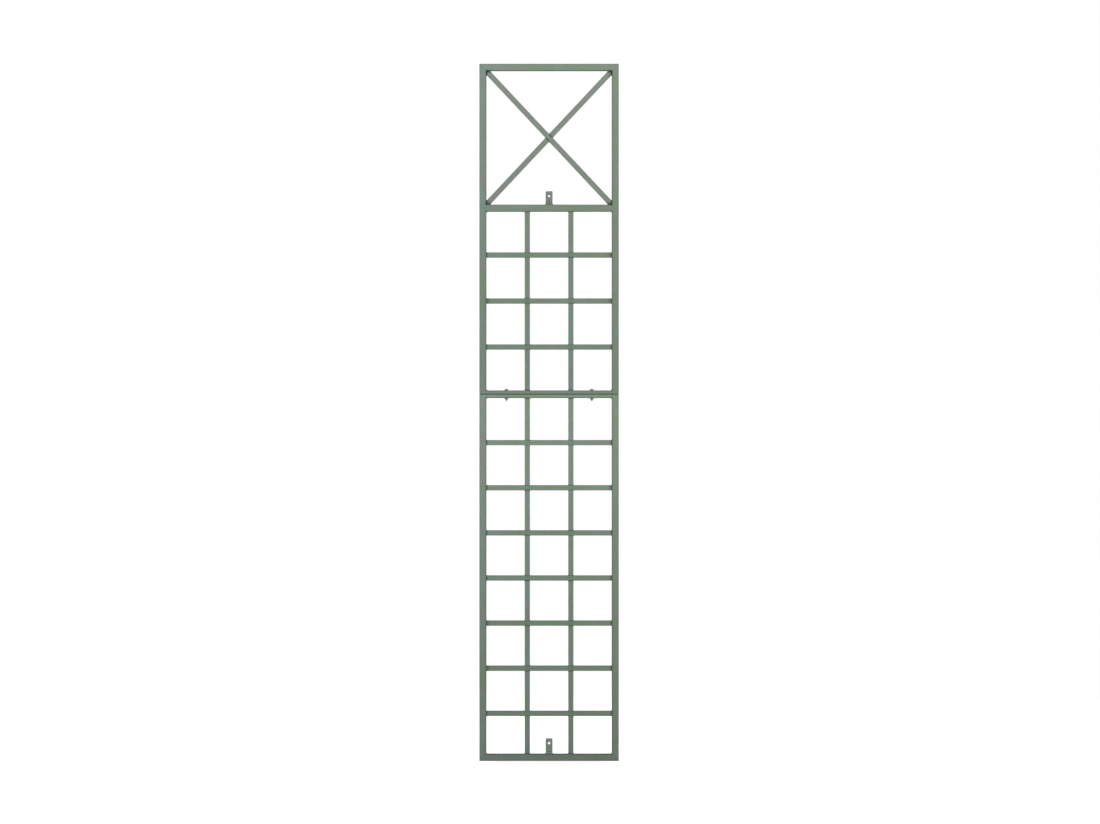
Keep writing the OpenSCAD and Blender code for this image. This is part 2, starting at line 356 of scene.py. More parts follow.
def finish_material(bench, colour, roughness, height, depth, others):
    """Joins colour, roughness, relief and the values of other sockets in one shader."""
    sockets = {"Strength": 1.0, "Distance": depth, "Height": height}
    relief = bench.node("ShaderNodeBump", None, sockets)
    sockets = {"Base Color": colour, "Roughness": roughness, "Normal": relief, **others}
    shader = bench.node("ShaderNodeBsdfPrincipled", None, sockets)
    bench.node("ShaderNodeOutputMaterial", None, {"Surface": shader})


print("helpers for materials are ready")

# %% [markdown]
# The coat isn't the same all over. Painted shade darkens it where shade falls: in the groove between
# the panels, in the corners where a bar ends, and on the inner edges of the stiles and rails. The
# mitres were ground before coating and show as fine lines. These places could be painted by hand as
# masks. Here a mask is a sum on the point's place, from the same boxes as the welds.

# %% Ends, mitres and the groove
# Reach and strength of the painted shade where the bars end.
END_REACH, EXTRA_REACH, REACH_SCALE = 6.5, 9, 11
STILE_END, BAY_END = 0.8, 1.3


def painted_bar_end_shade(place):
    """Painted shade, 1 where a bar runs into a rail, about as much at a stile and in the bay, 0
    farther.
    """
    x, _, z = split(place)
    uneven = soft_step(noise(place, REACH_SCALE), 0.48, 0.62)
    reach = (END_REACH + EXTRA_REACH * uneven) * MM
    shades = [STILE_END * soft_step(abs(x), inner_x - reach, inner_x - 0.5 * MM)]
    shades += [near(z - rail, 0.5, 5) for rail in grid_ends]
    shades += [BAY_END * near(z - rail, 2, 10) for rail in (bay_bottom, bay_top)]
    return most(*shades)


def mitre_line(place):
    """1 on the four mitres of the outer frame, 0 a millimetre away."""
    x, _, z = split(place)
    from_side = outer_x - abs(x)
    return most(*(near(from_side - from_end, 0.5, 1.6) for from_end in (frame_top - z, z)))


def painted_groove_shade(place):
    """Painted shade, 1 deep in the groove between the panels, 0 above and below it."""
    return near(split(place)[2] - joint_z, 0.3, 1.8)


print("masks for ends, mitres and the groove")

# %% [markdown]
# The inner edges are painted darker, as painted shade where the front light reaches them badly. An
# inner edge could be found from its place, but a rounded corner is only 3 mm wide. The way that the
# surface faces tells it better: it turns from the front towards the middle of the frame. The painted
# shade is full on the edge and half as strong on the face behind it.

# %% Inner edges
RAIL_EDGE = 0.7


def edge_and_face(turn):
    """1 on an edge that turns away, half as much on the face behind it."""
    return soft_step(turn, 0.12, 0.60) * (1 - 0.5 * soft_step(turn, 0.75, 1.0))


def painted_inner_edge_shade(place, facing):
    """Painted shade, 1 on edges of stiles, and less on edges of rails, that turn in towards the
    middle.
    """
    (x, _, z), (face_x, _, face_z) = split(place), split(facing)
    on_stile = edge_and_face(-1 * face_x * x.maths("SIGN", x))
    on_rail = edge_and_face(-1 * face_z * z.maths("SIGN", z - frame_top / 2))
    off_joint = soft_step(abs(z - joint_z), 5 * MM, 7 * MM)
    return most(on_stile, RAIL_EDGE * on_rail * off_joint)


print("edges that turn in, on stiles and rails")

# %% [markdown]
# Each panel is painted darker towards its bottom, as painted shade for light that weakens towards
# the floor, so a step in shade shows at the joint. The crossings of the grid came out as greener
# spots. Both need the panel that a point is on, and the crossings need the nearest row as well. A
# texture with a spot for every crossing would do, but rounding a height to the nearest row is a sum
# of few nodes.

# %% Panels and rows
middles = {name: (low[name].z + high[name].z) / 2 for name in crossbars}
rows = {
    panel: sorted(z for name, z in middles.items() if name.startswith(panel)) for panel in PANELS
}
upright_x = (low["upper_right_upright_1"].x + high["upper_right_upright_1"].x) / 2


def by_panel(z, on_lower, on_upper):
    """The first value on the lower panel and the second on the upper one."""
    is_upper = z.maths("GREATER_THAN", z, joint_z)
    return on_lower + is_upper * (on_upper - on_lower)


def share_of_panel(place):
    """0 at the bottom of a panel and 1 at its top."""
    z = split(place)[2]
    return by_panel(z, z / joint_z, (z - joint_z) / (frame_top - joint_z))


def above_nearest(z, heights):
    """How far a height lies above the nearest of several even rows."""
    pitch = heights[1] - heights[0]
    row = most(z.maths("ROUND", (z - heights[0]) / pitch), 0.0)
    return z - heights[0] - pitch * least(row, len(heights) - 1)


def above_crossbar(place):
    """How far a point lies above the middle of the nearest crossbar of its panel."""
    z = split(place)[2]
    return by_panel(z, above_nearest(z, rows["lower"]), above_nearest(z, rows["upper"]))


def crossing_spot(place):
    """1 where an upright and a crossbar meet, 0 a bar's width away."""
    across, up = abs(split(place)[0]) - upright_x, above_crossbar(place)
    return near((across * across + up * up) ** 0.5, 5, 12)


print({panel: len(heights) for panel, heights in rows.items()}, "rows of crossings")

# %% [markdown]
# The colour itself drifts between a cooler and a warmer sage, mostly cooler on the left and warmer
# on the right, with greyer patches. The grid's bars are a touch greyer than the stiles. The braces
# and the ends of the brackets' tabs are greyer still, as if dusty. One noise with many octaves could
# mix all of it, but then the patches would all look alike, so each has a noise of its own scale.

# %% Colour of the coat
COOL_SAGE = (0.206, 0.285, 0.236, 1)
WARM_SAGE = (0.204, 0.275, 0.187, 1)
GREY_SAGE = (0.231, 0.266, 0.223, 1)
DUSTY_GREY = (0.240, 0.266, 0.240, 1)
GROUND_GREEN = (0.170, 0.258, 0.176, 1)
DRIFT_SCALE, PATCH_SCALE, MOTTLE_SCALE = 5.5, 17, 55
WARMER_RIGHT = 0.07
PATCH_SHARE = 0.8
SPOT_SHARE = 0.8
DUST_SLOPE = 14 * MM


def coat_colour(bench, place, dusty, dusty_above):
    """Sage that is greyer by a share, over all of a piece or above a height."""
    x, _, z = split(place)
    drift = soft_step(noise(place, DRIFT_SCALE) + WARMER_RIGHT * (x / outer_x), 0.38, 0.62)
    colour = blend(bench, drift, COOL_SAGE, WARM_SAGE)
    patches = soft_step(noise(place, PATCH_SCALE), 0.45, 0.68)
    colour = blend(bench, PATCH_SHARE * patches, colour, GREY_SAGE)
    if dusty:
        mottle = 0.6 + 0.8 * soft_step(noise(place, MOTTLE_SCALE), 0.38, 0.62)
        if dusty_above:
            mottle = mottle * soft_step(z, dusty_above, dusty_above + DUST_SLOPE)
        colour = blend(bench, dusty * mottle, colour, DUSTY_GREY)
    return blend(bench, SPOT_SHARE * crossing_spot(place), colour, GROUND_GREEN)


print("sage from", COOL_SAGE[:3], "to", WARM_SAGE[:3])

# %% [markdown]
# The film thins on the rounded corners, where it looks a little paler. The corners need no extra
# geometry to be found: the tubes run up or across, so a corner is where the surface faces neither
# straight forwards nor straight sideways. The coat is dull, so its gloss is kept low and its
# roughness high. Clouds and grain make it lighter and darker by a few hundredths.

# %% The coat as a material
THIN_FILM = (0.289, 0.341, 0.275, 1)
THIN_SHARE = 0.30
FILM_SCALE = 130
CLOUD_SCALE, CLOUD_DETAIL = 42, 3
GRAIN_SCALE, PEBBLE_SCALE = 1100, 620
PEBBLE_HEIGHT = 0.12 * MM
# The foot and rise set how much darker each panel is painted towards its bottom, as painted shade.
PANEL_FOOT, PANEL_RISE = 0.93, 0.19


def sage_coat(name, shading=None, shade=1.0, dusty=0.0, dusty_above=None):
    """The powder coat, with a function that gives its painted shade."""
    material, bench, place = new_material(name)
    cloud = noise(place, CLOUD_SCALE, CLOUD_DETAIL)
    grain = noise(place, GRAIN_SCALE, 1)
    # Painted shade: each panel darker towards its bottom, for light that weakens towards the floor.
    painted_fall_off = PANEL_FOOT + PANEL_RISE * share_of_panel(place) ** 2
    colour = coat_colour(bench, place, dusty, dusty_above)
    colour = scaled(colour, shade * painted_fall_off * (0.88 + 0.16 * cloud + 0.08 * grain))

    facing = bench.node("ShaderNodeNewGeometry", out="Normal")
    forwards = split(facing)[1] ** 2
    corner = 4 * forwards * (1 - forwards)
    thin = soft_step(corner, 0.25, 0.95) * soft_step(noise(place, FILM_SCALE, 3), 0.35, 0.7)
    colour = blend(bench, THIN_SHARE * thin, colour, THIN_FILM)
    # Painted shade, where the given function says.
    if shading:
        colour = scaled(colour, 1 - shading(place, facing))

    roughness = 0.62 + 0.12 * cloud - 0.06 * thin
    pebbles = noise(place, PEBBLE_SCALE) + 0.3 * grain
    finish_material(bench, colour, roughness, pebbles, PEBBLE_HEIGHT, DULL)
    return material


print("a coat that thins on the corners")

# %% [markdown]
# The same coat goes on every tube, bar and plate, with painted shade in other places on the frame's
# tubes than on the bars between them. The loaded solids keep their shapes and only get a new
# material.

# %% Coat the tubes and bars
# The strengths for the groove, the inner edges and the bars' ends are painted shade; the one for the
# mitres is a ground line.
MITRE_SHADE, GROOVE_SHADE, EDGE_SHADE = 0.3, 0.6, 0.65
END_SHADE = 0.5
BAR_DUST, BRACE_DUST = 0.12, 0.75


def frame_shading(place, facing):
    """Ground lines at the mitres, and painted shade in the groove and on inner edges."""
    cloud = noise(place, CLOUD_SCALE, CLOUD_DETAIL)
    ground = MITRE_SHADE * mitre_line(place) * soft_step(cloud, 0.3, 0.6)
    return most(ground, GROOVE_SHADE * painted_groove_shade(place), EDGE_SHADE * painted_inner_edge_shade(place, facing))


def bar_shading(place, facing):
    """How much painted shade darkens the bars at their ends, whichever way they face."""
    return END_SHADE * painted_bar_end_shade(place)


frame_coat = sage_coat("sage_frame_coat", frame_shading)
bar_coat = sage_coat("sage_bar_coat", bar_shading, dusty=BAR_DUST)
brace_coat = sage_coat("sage_brace_coat", bar_shading, dusty=BRACE_DUST)
coats = {name: bar_coat for name in crossbars + upright_pieces}
coats.update({name: brace_coat for name in ("brace_full", "brace_half_upper", "brace_half_lower")})
for name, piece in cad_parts.items():
    piece.material_slots[0].material = coats.get(name, frame_coat)
print(len(coats), "bars and", len(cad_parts) - len(coats), "other pieces coated")

# %% [markdown]
# ## The coat on welds
# A weld takes the same powder, painted darker than the tubes: partly its own coat and partly painted
# shade for the corner that it fills. The beads that sit down in the corner beside a stile or where
# the braces cross get more painted shade, up to nearly black green in the corners of the braced bay,
# and beads under a crossbar get painted shadow, so they are darker than those on it. One material
# does it all: it darkens towards the stiles, most of all in the bay, towards the braces' crossing
# and below the crossbars.

# %% Coat and painted shade on welds
# The open colour is the beads' own coat, partly darkened as painted shade; the deep colour and the
# shares below are painted shade.
OPEN_WELD = (0.140, 0.188, 0.142, 1)
WELD_PAINTED_SHADE = (0.030, 0.044, 0.030, 1)
GRID_WELD_SHADE, BAY_WELD_SHADE = 0.25, 0.75
CROSSING_WELD_SHADE, UNDER_BAR_WELD_SHADOW = 0.6, 0.22
SCALE_MARKS, WELD_GRAIN = 260, 900
WELD_RELIEF = 0.15 * MM


def under_crossbar(place):
    """Painted shadow under a crossbar: 1 just below its middle, 0 above it and a bar's width below
    it.
    """
    below = -1 * above_crossbar(place)
    return soft_step(below, -2 * MM, 4 * MM) * (1 - soft_step(below, 12 * MM, 15 * MM))


def weld_coat():
    material, bench, place = new_material("weld_coat")
    x, _, z = split(place)
    # Painted shade on the beads: beside the stiles, most in the bay, at the braces' crossing, and
    # painted shadow under the crossbars.
    in_bay = soft_step(z, upper_grid_top, bay_bottom)
    at_stile = soft_step(abs(x), inner_x - 16 * MM, inner_x - 3 * MM)
    beside_stile = (GRID_WELD_SHADE + BAY_WELD_SHADE * in_bay) * at_stile
    from_crossing = (x * x + (z - bay_mid) ** 2) ** 0.5
    at_crossing = CROSSING_WELD_SHADE * near(from_crossing, 10, 16)
    deep = most(beside_stile, at_crossing, UNDER_BAR_WELD_SHADOW * under_crossbar(place))
    colour = blend(bench, deep, OPEN_WELD, WELD_PAINTED_SHADE)
    marked = noise(place, SCALE_MARKS, 3)
    colour = scaled(colour, 0.8 + 0.4 * marked)
    finish_material(bench, colour, 0.56 + 0.2 * marked, noise(place, WELD_GRAIN), WELD_RELIEF, DULL)
    return material


weld_green = weld_coat()
print("weld coat from", OPEN_WELD[:3], "to", WELD_PAINTED_SHADE[:3])

# %% [markdown]
# ## Weld beads
# More than 300 small weld beads hold the bars, and 20 flush seams close the joints of the frame's
# own tubes. They could be modelled one by one, but each is the same short run of metal with a
# different place, direction and size, so Geometry Nodes repeat one bead. A tree has named inputs
# for its sizes, and it always ends in the same way: as a plain mesh that has its coat on.

# %% Helpers for Geometry Nodes
def new_tree(name, **inputs):
    """A Geometry Nodes tree with named inputs, and a wire from each of them."""
    tree = bpy.data.node_groups.new(name, "GeometryNodeTree")
    tree.interface.new_socket("Geometry", in_out="OUTPUT", socket_type="NodeSocketGeometry")
    labels = {key: key.replace("_", " ") for key in inputs}
    for key, kind in inputs.items():
        tree.interface.new_socket(labels[key], in_out="INPUT", socket_type="NodeSocket" + kind)
    bench = Bench(tree)
    return tree, bench, {key: bench.node("NodeGroupInput", out=labels[key]) for key in inputs}


def close_tree(bench, geometry, coat, crisp_angle):
    """Ends a tree: edges sharper than the angle stay crisp, and instances become plain mesh."""
    real = bench.node("GeometryNodeRealizeInstances", None, {"Geometry": geometry})
    smooth = bench.node("GeometryNodeSetShadeSmooth", {"domain": "FACE"}, {"Geometry": real})
    angle = bench.node("GeometryNodeInputMeshEdgeAngle", out="Unsigned Angle")
    sharp = angle.maths("GREATER_THAN", angle, math.radians(crisp_angle))
    sockets = {"Geometry": smooth, "Selection": sharp, "Shade Smooth": False}
    crisp = bench.node("GeometryNodeSetShadeSmooth", {"domain": "EDGE"}, sockets)
    coated = bench.node("GeometryNodeSetMaterial", None, {"Geometry": crisp, "Material": coat})
    bench.node("NodeGroupOutput", None, {"Geometry": coated})


def cylinder(bench, around, segments, radius, depth):
    sockets = {"Vertices": around, "Side Segments": segments, "Radius": radius, "Depth": depth}
    return bench.node("GeometryNodeMeshCylinder", {"fill_type": "NGON"}, sockets, "Mesh")


def reshape(bench, geometry, x, y, z):
    """Moves every point of a mesh to x, y, z."""
    place = bench.node("ShaderNodeCombineXYZ", None, {0: x, 1: y, 2: z})
    return bench.node("GeometryNodeSetPosition", None, {"Geometry": geometry, "Position": place})


def on_points(bench, points, shape, **sockets):
    """A copy of a shape on every point."""
    sockets = {"Points": points, "Instance": shape, **sockets}
    return bench.node("GeometryNodeInstanceOnPoints", None, sockets)


print("helpers for Geometry Nodes are ready")

# %% [markdown]
# The unit bead comes from bending a small cylinder: rounded ends, a face that rises and falls in
# crescents as the puddle froze, and a back that is sunk in the steel. It lies along Z from -1 to 1,
# and its face looks along X. There are hundreds of beads, so one has only a few dozen faces.

# %% One weld bead
BEAD_SIDES = 8
CRESCENTS = 2
BEAD_WIDTH, WIDER_AT_CREST = 1.04, 0.25
END_TAPER = 0.99
CRESCENT_LEAN = 0.07


def unit_bead(bench, given):
    blank = cylinder(bench, BEAD_SIDES, BEAD_SIDES, 1.0, 2.0)
    across_front, across, along = split(bench.node("GeometryNodeInputPosition"))
    middle = 1 - across * across
    ripple = given["Ripple"] * along.maths("COSINE", CRESCENTS * math.tau * along)
    front = given["Corner"] + (given["Bow"] + ripple) * middle
    back = given["Corner"] * abs(across) - given["Sink"]
    is_front = across_front.maths("GREATER_THAN", across_front, -0.01)
    out = back + is_front * (front - back)
    taper = (1 - END_TAPER * abs(along) ** given["Squareness"]) ** 0.5
    spread = (BEAD_WIDTH + WIDER_AT_CREST * ripple) * taper
    leaning = along + CRESCENT_LEAN * is_front * middle
    return reshape(bench, blank, out * taper, spread * across, leaning)


print("a bead of", BEAD_SIDES * BEAD_SIDES + 2, "faces")

# %% [markdown]
# The tree sets a copy of the bead on every point of a mesh of places. The points carry their bead's
# turn and size. A random factor for the size and some noise on the finished surface see to it that
# no two beads are alike, and a seed keeps them the same in every run.

# %% A tree that lays weld beads
SMALLEST, LARGEST = 0.88, 1.12
LUMP_SCALE = 420.0
BEAD_CRISP = 60


def carried(bench, name):
    """A vector that the points carry."""
    settings = {"data_type": "FLOAT_VECTOR"}
    return bench.node("GeometryNodeInputNamedAttribute", settings, {"Name": name}, "Attribute")


def roughened(bench, mesh, amount):
    """A mesh whose points are moved about by noise."""
    here = bench.node("GeometryNodeInputPosition")
    sockets = {"Vector": here, "Scale": LUMP_SCALE, "Detail": 1.0}
    uneven = bench.node("ShaderNodeTexNoise", None, sockets, "Color")
    sockets = {0: uneven, 1: (0.5, 0.5, 0.5)}
    centred = bench.node("ShaderNodeVectorMath", {"operation": "SUBTRACT"}, sockets)
    sockets = {"Geometry": mesh, "Offset": scaled(centred, amount)}
    return bench.node("GeometryNodeSetPosition", None, sockets)


def weld_bead_tree():
    tree, bench, given = new_tree(
        "weld_beads", Places="Geometry", Corner="Float", Bow="Float", Sink="Float", Ripple="Float",
        Squareness="Float", Roughening="Float", Seed="Int", Coat="Material",
    )
    bead = unit_bead(bench, given)
    turn = bench.node("FunctionNodeEulerToRotation", None, {0: carried(bench, "turn")})
    limits = {"Min_001": SMALLEST, "Max_001": LARGEST, "Seed": given["Seed"]}
    vary = bench.node("FunctionNodeRandomValue", {"data_type": "FLOAT"}, limits, "Value_001")
    size = scaled(carried(bench, "size"), vary)
    laid = on_points(bench, given["Places"], bead, Rotation=turn, Scale=size)
    real = bench.node("GeometryNodeRealizeInstances", None, {"Geometry": laid})
    close_tree(bench, roughened(bench, real, given["Roughening"]), given["Coat"], BEAD_CRISP)
    return tree


weld_beads = weld_bead_tree()
print(len(weld_beads.nodes), "nodes lay the weld beads")

# %% [markdown]
# The next cell is the one way in which a tree is used here. It puts the tree on a mesh, sets the
# inputs by their identifiers, and keeps the evaluated result as a plain mesh, because the export
# drops live instances.

# %% Run a tree and keep its mesh
BEVEL_STEPS = 3
BEVEL_ANGLE = math.radians(40)


def grow(name, tree, start, settings, soften=0.0):
    """A plain mesh piece from a Geometry Nodes tree, with its edges rounded if soften is given."""
    piece = bpy.data.objects.new(name, start)
    scene.collection.objects.link(piece)
    nodes = piece.modifiers.new("nodes", "NODES")
    nodes.node_group = tree
    for item in tree.interface.items_tree:
        key = item.name.replace(" ", "_")
        if item.in_out == "INPUT" and key in settings:
            nodes[item.identifier] = settings[key]
    if soften:
        bevel = piece.modifiers.new("soft_edges", "BEVEL")
        bevel.width = soften
        bevel.segments = BEVEL_STEPS
        bevel.limit_method = "ANGLE"
        bevel.angle_limit = BEVEL_ANGLE
        bevel.harden_normals = True
    evaluated = piece.evaluated_get(bpy.context.evaluated_depsgraph_get())
    solid = bpy.data.meshes.new_from_object(evaluated)
    piece.modifiers.clear()
    piece.data = solid
    solid.name = name
    print(name, len(solid.polygons), "faces")
    return piece


def marks(name, points, **vectors):
    """A mesh of loose points that carry vectors."""
    mesh = bpy.data.meshes.new(name)
    mesh.from_pydata(points, [], [])
    for label, values in vectors.items():
        layer = mesh.attributes.new(label, "FLOAT_VECTOR", "POINT")
        layer.data.foreach_set("vector", [number for value in values for number in value])
    return mesh


print("a tree's result becomes a plain mesh")

# %% [markdown]
# A weld run is given by the corner line it sits on, the way it faces, the way it runs, and its
# leg, its half length and the opening of its corner. Long or short, in a square corner or a sharp
# one, the same unit bead is stretched to fit. A low run has a half width and a crown in place of
# legs.

# %% Weld runs
X_AXIS, Y_AXIS, Z_AXIS = (1, 0, 0), (0, 1, 0), (0, 0, 1)
LEG = 2.1 * MM
BAR_WELD = 5.3 * MM


class Runs:
    """A list of weld runs, as points with a turn and a size."""

    def __init__(self):
        self.points, self.turns, self.sizes = [], [], []

    def add(self, place, facing, along, size):
        facing, along = Vector(facing).normalized(), Vector(along).normalized()
        self.points.append(place)
        self.turns.append(Matrix((facing, along.cross(facing), along)).transposed().to_euler())
        self.sizes.append(size)

    def fillet(self, place, facing, along, leg, half_length, opening=90.0):
        half = math.radians(opening / 2)
        self.add(place, facing, along, (leg * math.cos(half), leg * math.sin(half), half_length))

    def flat(self, place, along, half_length, half_width, crown, surface):
        """Two low runs, on the faces in front and behind."""
        for face in SIDES:
            spot = Vector(place) + Vector((0, face * surface, 0))
            self.add(spot, (0, face, 0), along, (crown, half_width, half_length))

    def mesh(self, name):
        return marks(name, self.points, turn=self.turns, size=self.sizes)


corner_runs = {panel: Runs() for panel in PANELS}
seam_runs = {panel: Runs() for panel in PANELS}


def count(kind, runs):
    print({panel: len(runs[panel].points) for panel in PANELS}, kind)


print("weld legs of about", round(LEG / MM, 1), "mm")

# %% [markdown]
# A crossbar runs from stile to stile and is welded above and below at both ends, with a thinner
# bead below, where the torch reaches badly. It lies 2.5 mm behind the stile's face, so a bead runs
# up that step too. The step's bead could be a fillet like the others, but seen from the front it
# would be too thin, so it faces forwards and lies wide.

# %% Welds at the crossbars
STEP_INWARDS, STEP_FORWARDS = 0.57, 0.82
STEP_OPENING = 112.0
STEP_LEG = 2.6 * MM
STEP_SINK = 0.45 * MM
STEP_HALF = 6.4 * MM
OVER_LEG, UNDER_LEG = 1.3 * MM, 0.9 * MM


def step_weld(runs, place, inwards, along, half_length=STEP_HALF, leg=STEP_LEG, behind=0.0):
    """Beads on the front and back of a bar, where it ends behind the face of a frame tube."""
    inwards = Vector(inwards)
    for face in SIDES:
        facing = inwards * STEP_INWARDS + Vector((0, face * STEP_FORWARDS, 0))
        spot = Vector(place) + Vector((0, face * (bar_face - behind), 0)) - inwards * STEP_SINK
        runs.fillet(spot, facing, along, leg, half_length, STEP_OPENING)


for name in crossbars:
    runs = corner_runs[name.split("_")[0]]
    a, b = low[name], high[name]
    for x, inwards in ((a.x, 1), (b.x, -1)):
        for z, up, leg in ((a.z, -1, UNDER_LEG), (b.z, 1, OVER_LEG)):
            runs.fillet((x, 0, z), (inwards, 0, up), Y_AXIS, leg, BAR_WELD)
        step_weld(runs, (x, 0, middles[name]), (inwards, 0, 0), Z_AXIS)
count("beads so far", corner_runs)

# %% [markdown]
# An upright is in short pieces, each fitted between two crossbars or between a crossbar and a rail.
# Every end has a fillet on each side. On a rail it has a bead along the step as well. On a crossbar
# the faces are level, and a low bead fills the groove that the crossbar's rounded edge leaves. These
# dark lines over and under each crossbar tell which bar runs through.

# %% Welds at the uprights
SIDE_LEG = 1.3 * MM
GROOVE_IN, GROOVE_DEPTH = 0.5 * MM, 1.9 * MM
GROOVE_HALF, GROOVE_FILL = 7.7 * MM, 1.6 * MM
OVER_HALF_WIDTH, UNDER_HALF_WIDTH = 2.2 * MM, 2.7 * MM

groove_floor = bar_face - GROOVE_DEPTH
for name in upright_pieces:
    runs = corner_runs[name.split("_")[0]]
    a, b = low[name], high[name]
    mid_x = (a.x + b.x) / 2
    for z, inwards, half_width in ((a.z, 1, OVER_HALF_WIDTH), (b.z, -1, UNDER_HALF_WIDTH)):
        for x, side in ((a.x, -1), (b.x, 1)):
            runs.fillet((x, 0, z), (side, 0, inwards), Y_AXIS, SIDE_LEG, BAR_WELD)
        if min(abs(z - rail) for rail in grid_ends) < MM:
            step_weld(runs, (mid_x, 0, z), (0, 0, inwards), X_AXIS)
        else:
            groove = (mid_x, 0, z - inwards * GROOVE_IN)
            runs.flat(groove, X_AXIS, GROOVE_HALF, half_width, GROOVE_FILL, groove_floor)
count("beads so far", corner_runs)

# %% [markdown]
# The stiles and rails are joined in three ways: a fillet in each inner corner, flush seams where
# a rail butts against a stile, and ground mitres at the four outer corners.

# %% Welds at the rails and mitres
FRAME_WELD = 7.2 * MM
ROUND_EDGE = 2.4 * MM
SEAM_OUT, SEAM_HALF_WIDTH, SEAM_CROWN = 1.2 * MM, 3.6 * MM, 0.12 * MM
MITRE_HALF, MITRE_HALF_WIDTH, MITRE_CROWN = 10.4 * MM, 1.7 * MM, 0.08 * MM
rail_ends = {
    "mid_rail": ("upper", upper_grid_top, -1),
    "upper_joint_rail": ("upper", upper_grid_bottom, 1),
    "lower_joint_rail": ("lower", lower_grid_top, -1),
    "bottom_rail": ("lower", lower_grid_bottom, 1),
}
for name, (panel, z, up) in rail_ends.items():
    a, b = low[name], high[name]
    flat_half = (b.z - a.z) / 2 - ROUND_EDGE
    for side in SIDES:
        corner_runs[panel].fillet((side * inner_x, 0, z), (-side, 0, up), Y_AXIS, LEG, FRAME_WELD)
        if name != "bottom_rail":
            seam = (side * (inner_x + SEAM_OUT), 0, (a.z + b.z) / 2)
            seam_runs[panel].flat(seam, Z_AXIS, flat_half, SEAM_HALF_WIDTH, SEAM_CROWN, tube_face)

stile_x = (inner_x + outer_x) / 2
half_tube = (outer_x - inner_x) / 2
for side in SIDES:
    for panel, z, up in (("upper", frame_top - half_tube, 1), ("lower", half_tube, -1)):
        mitre, along = (side * stile_x, 0, z), (side, 0, up)
        seam_runs[panel].flat(mitre, along, MITRE_HALF, MITRE_HALF_WIDTH, MITRE_CROWN, tube_face)
count("flush seams in all", seam_runs)

# %% [markdown]
# The braces meet the frame at a slant, so their corners are sharper or wider than a square one. A
# bead could be shaped for each angle, but a run takes its opening as a number, so two directions
# are enough to place it.

# %% Welds at the ends of the braces
BRACE_LEG = 3.6 * MM
BRACE_BEHIND = 1.1 * MM
STILE_FOOT, RAIL_FOOT = 6.0 * MM, 5.6 * MM

rise = math.atan2(bay_top - bay_bottom, 2 * inner_x)
along_rail = bar_face / math.sin(rise)
along_stile = bar_face / math.cos(rise)


def brace_fillet(x, z, way_a, way_b):
    """A bead in the corner between two directions, given as angles from the X axis."""
    facing = Vector((math.cos(way_a) + math.cos(way_b), 0, math.sin(way_a) + math.sin(way_b)))
    opening = abs(math.degrees(math.remainder(way_a - way_b, math.tau)))
    corner_runs["upper"].fillet((x, 0, z), facing, Y_AXIS, LEG, BAR_WELD, opening)


def brace_end(side, up):
    """Fillets beside the end of a brace, and beads along its steps behind the stile and the rail."""
    inwards = math.pi - rise if side > 0 else rise
    level = math.pi if side > 0 else 0.0
    corner_z = bay_mid + up * (bay_top - bay_bottom) / 2
    brace_fillet(side * (inner_x - along_rail), corner_z, level, -up * inwards)
    brace_fillet(side * inner_x, corner_z - up * along_stile, -up * math.pi / 2, -up * inwards)
    on_stile = (side * inner_x, 0, corner_z - up * along_stile / 2)
    on_rail = (side * (inner_x - along_rail / 2), 0, corner_z)
    for place, way, along, half in (
        (on_stile, (-side, 0, 0), Z_AXIS, STILE_FOOT), (on_rail, (0, 0, -up), X_AXIS, RAIL_FOOT)
    ):
        step_weld(corner_runs["upper"], place, way, along, half, BRACE_LEG, BRACE_BEHIND)


print("braces rise at", round(math.degrees(rise), 1), "degrees")

# %% [markdown]
# Where the braces cross, one runs through and the other is in two halves. The corners of the
# crossing have fillets, and a low seam lies along each side of the full brace.

# %% Welds at both ends and the crossing of the braces
CROSSING_HALF, CROSSING_HALF_WIDTH, CROSSING_CROWN = 6.6 * MM, 1.9 * MM, 0.5 * MM
CROSSING_IN, CROSSING_SINK = 0.6 * MM, 0.5 * MM

falling = (math.cos(rise), 0, -math.sin(rise))
upwards = Vector((math.sin(rise), 0, math.cos(rise)))
for side in SIDES:
    for up in SIDES:
        brace_end(side, up)
    outwards = rise if side > 0 else math.pi - rise
    brace_fillet(side * along_rail, bay_mid, outwards, -outwards)
    brace_fillet(0, bay_mid + side * along_stile, side * rise, side * (math.pi - rise))
    seam = upwards * side * (bar_face - CROSSING_IN) + Vector((0, 0, bay_mid))
    corner_runs["upper"].flat(
        seam, falling, CROSSING_HALF, CROSSING_HALF_WIDTH, CROSSING_CROWN, bar_face - CROSSING_SINK
    )
count("beads so far", corner_runs)

# %% [markdown]
# A bracket's foot lies flat on a rail. It has a fillet along both sides, one over its front edge
# and one underneath, where it leaves the back of the rail.

# %% Welds at the wall brackets
FOOT_SIDE = 6.6 * MM
FOOT_SHORT = 0.8 * MM
FRONT_FACING, FRONT_LEG, FRONT_OPENING, FRONT_DROP = (0, -0.91, 0.42), 2.1 * MM, 130, 0.2 * MM
BACK_FACING, BACK_LEG, BACK_OPENING, BACK_IN = (0, 0.9, -0.5), 2.2 * MM, 60, 0.6 * MM

